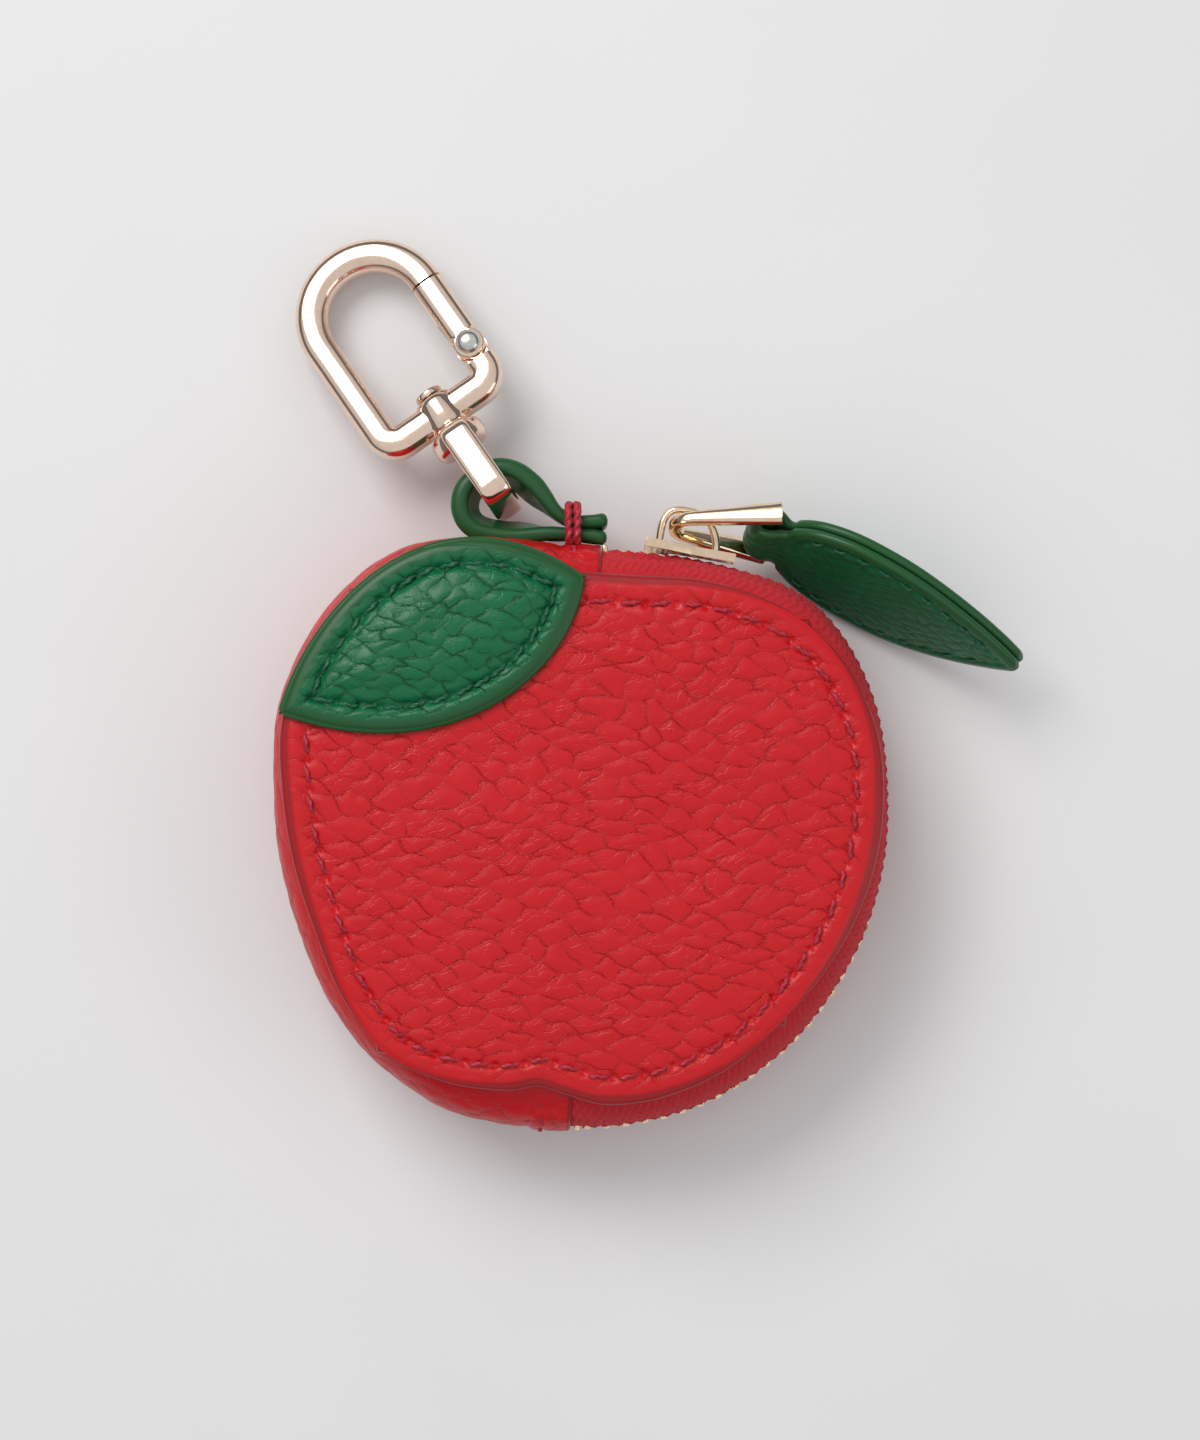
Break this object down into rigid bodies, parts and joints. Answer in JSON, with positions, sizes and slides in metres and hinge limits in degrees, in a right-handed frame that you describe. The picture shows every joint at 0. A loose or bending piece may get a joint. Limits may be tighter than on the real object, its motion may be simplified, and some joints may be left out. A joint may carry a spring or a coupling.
{
  "type": "apple-shaped leather zip coin purse",
  "caption": "Apple-shaped leather zip coin purse with a leather leaf on its front, a leaf-shaped zip pull, and a swivel clasp hung from a leather loop.",
  "frame": {"origin": "on the outer face of the back panel, at the centre of the circle that the zip slider runs on", "axes": "+Z out of the front face, +X towards the zip side, +Y towards the strap and clasp end"},
  "size_m": [0.102, 0.1225, 0.0255],
  "materials": {
    "red_leather": "pebbled, satin",
    "green_leather": "pebbled, satin",
    "red_tape": "woven",
    "lining": "woven",
    "thread": "twisted",
    "gold_metal": "polished, pale rose gold plating",
    "steel_pin": "polished"
  },
  "bodies": {
    "purse": {"back_panel": "red_leather", "back_lining": "lining", "front_panel_spine": "red_leather", "front_lining_spine": "lining", "side_gusset": "red_leather", "gusset_lining": "lining", "zip_tape_back": "red_tape", "zip_teeth_back": "gold_metal", "zip_top_stop_back": "gold_metal", "zip_bottom_stop": "gold_metal", "leaf_applique": "green_leather", "strap_loop": "green_leather", "strap_thread": "thread"},
    "flap": {"front_panel_flap": "red_leather", "front_lining_flap": "lining", "zip_tape_front": "red_tape", "zip_teeth_front": "gold_metal", "zip_top_stop_front": "gold_metal"},
    "zip_slider": {"slider_body": "gold_metal", "slider_bridge": "gold_metal"},
    "zip_ring": {"pull_ring": "gold_metal"},
    "zip_leaf": {"leaf_pull": "green_leather"},
    "swivel_base": {"swivel_eye": "gold_metal", "swivel_stud": "gold_metal"},
    "hook": {"hook_body": "gold_metal", "gate_pin": "steel_pin"},
    "gate": {"hook_gate": "gold_metal", "gate_spring": "steel_pin"}
  },
  "joints": [
    {"name": "mouth_open", "type": "hinge", "parent": "purse", "child": "flap", "pos_m": [0.002, 0, 0.024], "axis": [0, -1, 0], "range_deg": [0, 35], "deforming": ["zip_tape_back", "zip_teeth_back", "zip_tape_front", "zip_teeth_front"]},
    {"name": "zip_travel", "type": "hinge", "parent": "purse", "child": "zip_slider", "pos_m": [0, 0, 0.012], "axis": [0, 0, 1], "range_deg": [-151, 0], "deforming": ["zip_tape_back", "zip_teeth_back", "zip_tape_front", "zip_teeth_front"]},
    {"name": "ring_swing", "type": "hinge", "parent": "zip_slider", "child": "zip_ring", "pos_m": [0.01151, 0.04171, 0.012], "axis": [0.1642, 0.376, 0.9119], "range_deg": [0, 85]},
    {"name": "leaf_swing", "type": "hinge", "parent": "zip_ring", "child": "zip_leaf", "pos_m": [0.02325, 0.04089, 0.01022], "axis": [0.1642, 0.376, 0.9119], "range_deg": [0, 60]},
    {"name": "clasp_swing", "type": "hinge", "parent": "purse", "child": "swivel_base", "pos_m": [-0.0124, 0.0448, 0.012], "axis": [-0.1203, 0.1737, 0.9774], "range_deg": [-25, 25]},
    {"name": "hook_swivel", "type": "hinge", "parent": "swivel_base", "child": "hook", "pos_m": [-0.01796, 0.05284, 0.00989], "axis": [-0.5564, 0.8036, -0.2113], "continuous": true},
    {"name": "gate_swing", "type": "hinge", "parent": "hook", "child": "gate", "pos_m": [-0.01713, 0.06673, 0.00752], "axis": [-0.1203, 0.1737, 0.9774], "range_deg": [0, 35], "stiffness_Nm_per_rad": 0.02, "springref_deg": -17.19}
  ],
  "couplings": [
    {"joint": "zip_travel", "follows": "mouth_open", "ratio": -4.31}
  ]
}
